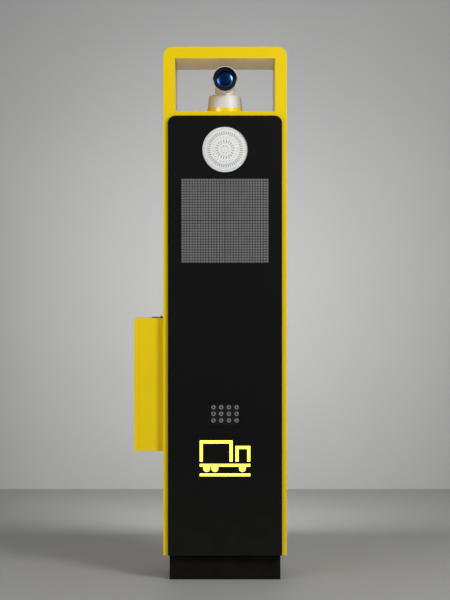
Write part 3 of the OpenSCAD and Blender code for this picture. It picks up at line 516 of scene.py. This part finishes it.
class COLUMN_OT_signal(ColumnOperator):
    """Domed signal lens with rings of moulded prisms, and its housing"""

    bl_idname = "column.signal"
    bl_label = "Signal"

    def make(self, sizes):
        low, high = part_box("signal_lens")
        middle = centre_of("signal_lens")
        radius = (high[0] - low[0]) / 2
        rim = high[1] - 2 * MM
        sag = rim - low[1]

        def surface(r):
            """Depth of the dome's face at a radius."""
            return low[1] + sag * (r / radius) ** 2

        bm = bmesh.new()
        steps = 14
        face = [(radius * i / steps, low[1] - surface(radius * i / steps)) for i in range(steps)]
        profile = [(0, 0)] + face[1:] + [(radius - 0.6 * MM, low[1] - rim + 0.4 * MM),
                                         (radius, low[1] - rim - 0.4 * MM), (radius, low[1] - high[1]),
                                         (0, low[1] - high[1])]
        turned(bm, profile, (middle.x, low[1], middle.z), (0, -1, 0), 96)
        bmesh.ops.recalc_face_normals(bm, faces=bm.faces)
        place(bm, "signal_lens_dome", "signal_white", "column", ["signal_lens"])

        bm = bmesh.new()
        rings = [  # radius of the middle, length, width and number of prisms
            (0.72, 0.15, 0.036, sizes.dashes), (0.545, 0.03, 0.03, sizes.dashes // 2),
            (0.36, 0.14, 0.034, 20), (0.16, 0.06, 0.03, 8), (0.9, 0.035, 0.016, 2 * sizes.dashes)]
        for ring, length, width, count in rings:
            for i in range(count):
                turn = tau * (i + 0.5) / count
                at = Vector((middle.x + ring * radius * cos(turn), surface(ring * radius) + 0.1 * MM,
                             middle.z + ring * radius * sin(turn)))
                slope = 2 * sag * ring / radius
                spot = (Matrix.Translation(at) @ Matrix.Rotation(-turn, 4, "Y") @ Matrix.Rotation(slope, 4, "Z")
                        @ Matrix.Diagonal((length * radius, 0.9 * MM, width * radius, 1)))
                bmesh.ops.create_cube(bm, size=1, matrix=spot)
        bmesh.ops.bevel(bm, geom=bm.edges[:], offset=0.25 * MM, offset_type="OFFSET", segments=1, profile=0.5,
                        affect="EDGES", clamp_overlap=True, material=-1)
        place(bm, "signal_prisms", "prism_grey", "column")
        for node in ("signal_housing", "signal_gasket", "signal_led_board"):
            dress(node)


class COLUMN_OT_display(ColumnOperator):
    """Matrix display: dark masks with rows of grey cells, each with its lamp"""

    bl_idname = "column.display"
    bl_label = "Matrix display"

    def make(self, sizes):
        low, high = (Vector(corner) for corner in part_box("display_modules"))
        seam = 1 * MM
        wide, tall = (high.x - low.x - seam) / 2, (high.z - low.z - seam) / 2
        bm = cad_copy("display_modules")
        round_edges(bm, 0.5 * MM, 1)
        place(bm, "display_masks", "dark_gap", "column", ["display_modules"])
        bm = bmesh.new()
        lamps = bmesh.new()
        pitch_x, pitch_z = wide / sizes.cells, tall / sizes.cells
        for column in range(2 * sizes.cells):
            for row in range(2 * sizes.cells):
                x = low.x + (column + 0.5) * pitch_x + (seam if column >= sizes.cells else 0)
                z = low.z + (row + 0.5) * pitch_z + (seam if row >= sizes.cells else 0)
                spot = (Matrix.Translation((x, low.y, z))
                        @ Matrix.Diagonal((pitch_x - sizes.cell_gap, 2 * sizes.cell_rise, pitch_z - sizes.cell_gap, 1)))
                bmesh.ops.create_cube(bm, size=1, matrix=spot)
                spot = Matrix.Translation((x, low.y - sizes.cell_rise, z)) @ Matrix.Rotation(pi / 2, 4, "X")
                bmesh.ops.create_cone(lamps, cap_ends=True, segments=8, radius1=2.7 * MM, radius2=1.6 * MM,
                                      depth=1.2 * MM, matrix=spot)
        place(bm, "display_cells", "led_grey", "column")
        place(lamps, "display_lamps", "led_lamp", "column")


class COLUMN_OT_lamps(ColumnOperator):
    """Lamp cluster: pale moulded rings round dark lenses in a black tray"""

    bl_idname = "column.lamps"
    bl_label = "Lamp cluster"

    def make(self, sizes):
        refine("lamp_body", 0.5 * MM, 1)
        bm = cad_copy("lamp_lenses")
        spots = lens_centres(bm)
        bm.free()
        low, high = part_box("lamp_lenses")
        depth = high[1] - low[1]
        rims, faces = bmesh.new(), bmesh.new()
        tube = 2.9 * MM
        reach = 9.9 * MM - tube
        for x, z in spots:
            at = (x, high[1], z)
            ring = arc((reach, depth - 0.2 * MM - tube), tube, 0, 360, 20)
            turned(rims, ring, at, (0, -1, 0), 32)
            dome = arc((0, 0.3 * depth), 4.4 * MM, 0, 90, 5)
            turned(faces, [(0, 0), (9.4 * MM, 0), (9.4 * MM, 0.3 * depth)] + dome, at, (0, -1, 0), 32)
        for made in (rims, faces):
            bmesh.ops.recalc_face_normals(made, faces=made.faces)
        place(rims, "lamp_rims", "lamp_rim", "column")
        place(faces, "lamp_faces", "lamp_clear", "column", ["lamp_lenses"])


def lens_centres(bm):
    """The middle, in X and Z, of each separate solid of a bmesh."""
    left = set(bm.verts)
    found = []
    while left:
        stack, island = [left.pop()], []
        while stack:
            v = stack.pop()
            island.append(v.co.copy())
            for edge in v.link_edges:
                other = edge.other_vert(v)
                if other in left:
                    left.remove(other)
                    stack.append(other)
        xs, zs = [c.x for c in island], [c.z for c in island]
        found.append(((min(xs) + max(xs)) / 2, (min(zs) + max(zs)) / 2))
    return sorted(found)


class COLUMN_OT_sign(ColumnOperator):
    """Lit sign: a lorry on its weighing platform in glowing acrylic strokes"""

    bl_idname = "column.sign"
    bl_label = "Lit sign"

    def make(self, sizes):
        refine("sign_light_guide", 0.5 * MM, 2)


class COLUMN_OT_camera(ColumnOperator):
    """Camera on its turret and base, with its sunshield and coated glass"""

    bl_idname = "column.camera"
    bl_label = "Camera"

    def make(self, sizes):
        refine("camera_riser", 1.5 * MM, 3)
        refine("camera_base", 0.8 * MM, 2)
        refine("camera_neck", 2.0 * MM, 3)
        refine("camera_barrel", 1.2 * MM, 3)
        refine("camera_tail", 1.5 * MM, 3)
        self.sunshield()
        refine("camera_tilt_bolts", 0.4 * MM, 1)
        refine("camera_front_ring", 1.2 * MM, 3)
        dress("camera_lens")
        low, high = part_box("camera_glass")
        middle = centre_of("camera_glass")
        radius = (high[0] - low[0]) / 2
        depth = high[1] - low[1]
        steps = 16
        profile = [(radius * sin(pi / 2 * i / steps), depth * cos(pi / 2 * i / steps)) for i in range(steps + 1)]
        bm = bmesh.new()
        turned(bm, profile + [(0, 0)], (middle.x, high[1], middle.z), (0, -1, 0), 64)
        bmesh.ops.recalc_face_normals(bm, faces=bm.faces)
        place(bm, "camera_glass_dome", "camera_glass", BODIES["camera_glass"], ["camera_glass"])


    def sunshield(self):
        """White outside; its inner face painted matt black as painted shade, standing for the shadow inside the shield.
        """
        middle = centre_of("camera_glass")
        barrel = (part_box("camera_barrel")[1][0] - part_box("camera_barrel")[0][0]) / 2
        outside = (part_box("camera_sunshield")[1][0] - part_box("camera_sunshield")[0][0]) / 2
        bm = cad_copy("camera_sunshield")
        round_edges(bm, 0.5 * MM, 2)
        # Painted shade: faces on the shield's inside get the black slot in place of the shadow that falls there.
        for face in bm.faces:
            spot = face.calc_center_median()
            out = Vector((spot.x - middle.x, 0, spot.z - middle.z))
            if barrel < out.length < outside - MM and face.normal.dot(out.normalized()) < -0.5:
                face.material_index = 1
        place(bm, "camera_sunshield_finished", "white_housing", BODIES["camera_sunshield"], ["camera_sunshield"],
              ["black_plastic"])


class COLUMN_OT_service_box(ColumnOperator):
    """Service box with its door, locks, reader, button and ticket slot"""

    bl_idname = "column.service_box"
    bl_label = "Service box"

    def make(self, sizes):
        refine("side_box", 1.6 * MM, 3)
        refine("side_door", 1.6 * MM, 3)
        for node in ("side_box_brackets", "side_lock_core", "card_reader", "intercom_unit", "call_button_body",
                     "call_button", "ticket_bezel"):
            refine(node, sizes.part_round, 2)
        for node in ("printer_frame", "platen_roller", "paper_roll"):
            refine(node, 0.3 * MM, 1)


class COLUMN_OT_rear(ColumnOperator):
    """Rear door with its hinges, locks, grilles and fan"""

    bl_idname = "column.rear"
    bl_label = "Rear door"

    def make(self, sizes):
        refine("rear_door", 0.9 * MM, 2)
        for node in ("hinge_frame_leaves", "hinge_door_leaves", "rear_lock_bodies", "rear_lock_upper",
                     "rear_lock_lower", "vent_grilles"):
            refine(node, 0.5 * MM, 1)
        for node in ("fan_frame", "fan_rotor", "door_seal"):
            refine(node, 0.4 * MM, 1)


class COLUMN_OT_plinth(ColumnOperator):
    """Plinth, base plate and floor deck"""

    bl_idname = "column.plinth"
    bl_label = "Plinth"

    def make(self, sizes):
        refine("plinth_box", 1.5 * MM, 2)
        refine("base_plate", 0.8 * MM, 1)
        refine("floor_deck", 0.4 * MM, 1)
        refine("cable_glands", 0.6 * MM, 1)


class COLUMN_OT_equipment(ColumnOperator):
    """Equipment on its mounting plate inside the column"""

    bl_idname = "column.equipment"
    bl_label = "Equipment"

    def make(self, sizes):
        for node in ("mounting_plate", "din_rails", "power_supply", "controller", "breaker_body", "breaker_lever"):
            refine(node, 0.4 * MM, 1)


# ---- Studio ----


def plain(name, colour, roughness):
    """Painted stage surface with a faint unevenness, clear when seen from behind."""
    made, tree, shader, where = new_material(name)
    cloud = noise(tree, where, 900, 4.0)
    tree.links.new(blend_colours(tree, cloud, shade(colour, 0.94), shade(colour, 1.04)), shader.inputs["Base Color"])
    tree.links.new(spread(tree, cloud, roughness, roughness + 0.08), shader.inputs["Roughness"])
    behind = add(tree, "NewGeometry").outputs["Backfacing"]
    front = add(tree, "Math", {0: 1.0, 1: behind}, operation="SUBTRACT").outputs[0]
    tree.links.new(front, shader.inputs["Alpha"])
    return made


def stage_plane(name, size, matrix, material):
    """A plane of the stage, with its place in its mesh."""
    bm = bmesh.new()
    bmesh.ops.create_grid(bm, x_segments=1, y_segments=1, size=size / 2, matrix=matrix)
    mesh = bpy.data.meshes.new(name)
    bm.to_mesh(mesh)
    bm.free()
    mesh.materials.append(material)
    made = bpy.data.objects.new(name, mesh)
    bpy.context.scene.collection.objects.link(made)


def area_light(name, at, aim, size, power, colour=(1, 1, 1), tall=None):
    """A soft box that points at a place."""
    data = bpy.data.lights.new(name, "AREA")
    data.energy = power
    data.color = colour
    data.size = size
    if tall:
        data.shape = "RECTANGLE"
        data.size_y = tall
    lamp = bpy.data.objects.new(name, data)
    lamp.visible_camera = False
    lamp.location = at
    lamp.rotation_euler = (Vector(aim) - Vector(at)).to_track_quat("-Z", "Y").to_euler()
    bpy.context.scene.collection.objects.link(lamp)


class COLUMN_OT_studio(bpy.types.Operator):
    """Level camera in front of the column, a pale floor and wall, and soft lights"""

    bl_idname = "column.studio"
    bl_label = "Studio"

    def execute(self, context):
        scene = context.scene
        look = scene.column_studio
        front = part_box("front_face_frame")[0][1]
        data = bpy.data.cameras.new("Camera")
        data.lens = look.lens
        camera = bpy.data.objects.new("Camera", data)
        camera.location = (0, front - look.camera_distance, look.camera_height)
        camera.rotation_euler = (pi / 2, 0, 0)
        scene.collection.objects.link(camera)
        scene.camera = camera

        stage_plane("Floor", 40, Matrix.Identity(4), plain("Floor paint", look.floor, 0.55))
        wall = Matrix.Translation((0, look.wall, 10)) @ Matrix.Rotation(pi / 2, 4, "X")
        stage_plane("Backdrop", 40, wall, plain("Wall paint", look.backdrop, 0.8))

        world = bpy.data.worlds.new("Studio")
        scene.world = world
        world.use_nodes = True
        world.node_tree.nodes["Background"].inputs["Color"].default_value = (1, 1, 1, 1)
        world.node_tree.nodes["Background"].inputs["Strength"].default_value = look.ambient
        area_light("Key", (2.9, -3.4, 3.6), (0, 0, 1.3), 1.5, look.key)
        area_light("Fill", (-3.4, -3.8, 2.0), (0, 0, 1.2), 2.2, look.fill)
        area_light("Wall wash", (0, 1.0, 1.3), (0, look.wall, 1.5), 0.45, look.wash, tall=1.1)
        for side in (-1, 1):
            area_light("Side light", (2.6 * side, -1.5, 1.5), (0, -1.5, 1.5), 5.0, look.side, tall=2.8)
        scene.view_settings.view_transform = "Standard"
        return {"FINISHED"}


class COLUMN_PT_panel(bpy.types.Panel):
    """Sidebar panel with the sizes, the colours and a button for each piece"""

    bl_label = "Lane column"
    bl_idname = "COLUMN_PT_panel"
    bl_space_type = "VIEW_3D"
    bl_region_type = "UI"
    bl_category = "Column"

    def draw(self, context):
        scene = context.scene
        for group in (scene.column_sizes, scene.column_colours, scene.column_studio):
            box = self.layout.box()
            for name in group.__annotations__:
                box.prop(group, name)
        for operator in OPERATORS:
            self.layout.operator(operator.bl_idname)


OPERATORS = (
    COLUMN_OT_studio, COLUMN_OT_shell, COLUMN_OT_panel, COLUMN_OT_signal, COLUMN_OT_display, COLUMN_OT_lamps,
    COLUMN_OT_sign, COLUMN_OT_camera, COLUMN_OT_service_box, COLUMN_OT_rear, COLUMN_OT_plinth,
    COLUMN_OT_equipment,
)
GROUPS = (
    (ColumnColours, "column_colours"), (ColumnSizes, "column_sizes"), (StudioSettings, "column_studio"),
)


def register():
    for group, name in GROUPS:
        bpy.utils.register_class(group)
        setattr(bpy.types.Scene, name, PointerProperty(type=group))
    for operator in OPERATORS:
        bpy.utils.register_class(operator)
    bpy.utils.register_class(COLUMN_PT_panel)


def unregister():
    bpy.utils.unregister_class(COLUMN_PT_panel)
    for operator in reversed(OPERATORS):
        bpy.utils.unregister_class(operator)
    for group, name in reversed(GROUPS):
        delattr(bpy.types.Scene, name)
        bpy.utils.unregister_class(group)


def main():
    register()
    for operator in OPERATORS:
        _, name = operator.bl_idname.split(".")
        getattr(bpy.ops.column, name)()


if __name__ == "__main__":
    main()
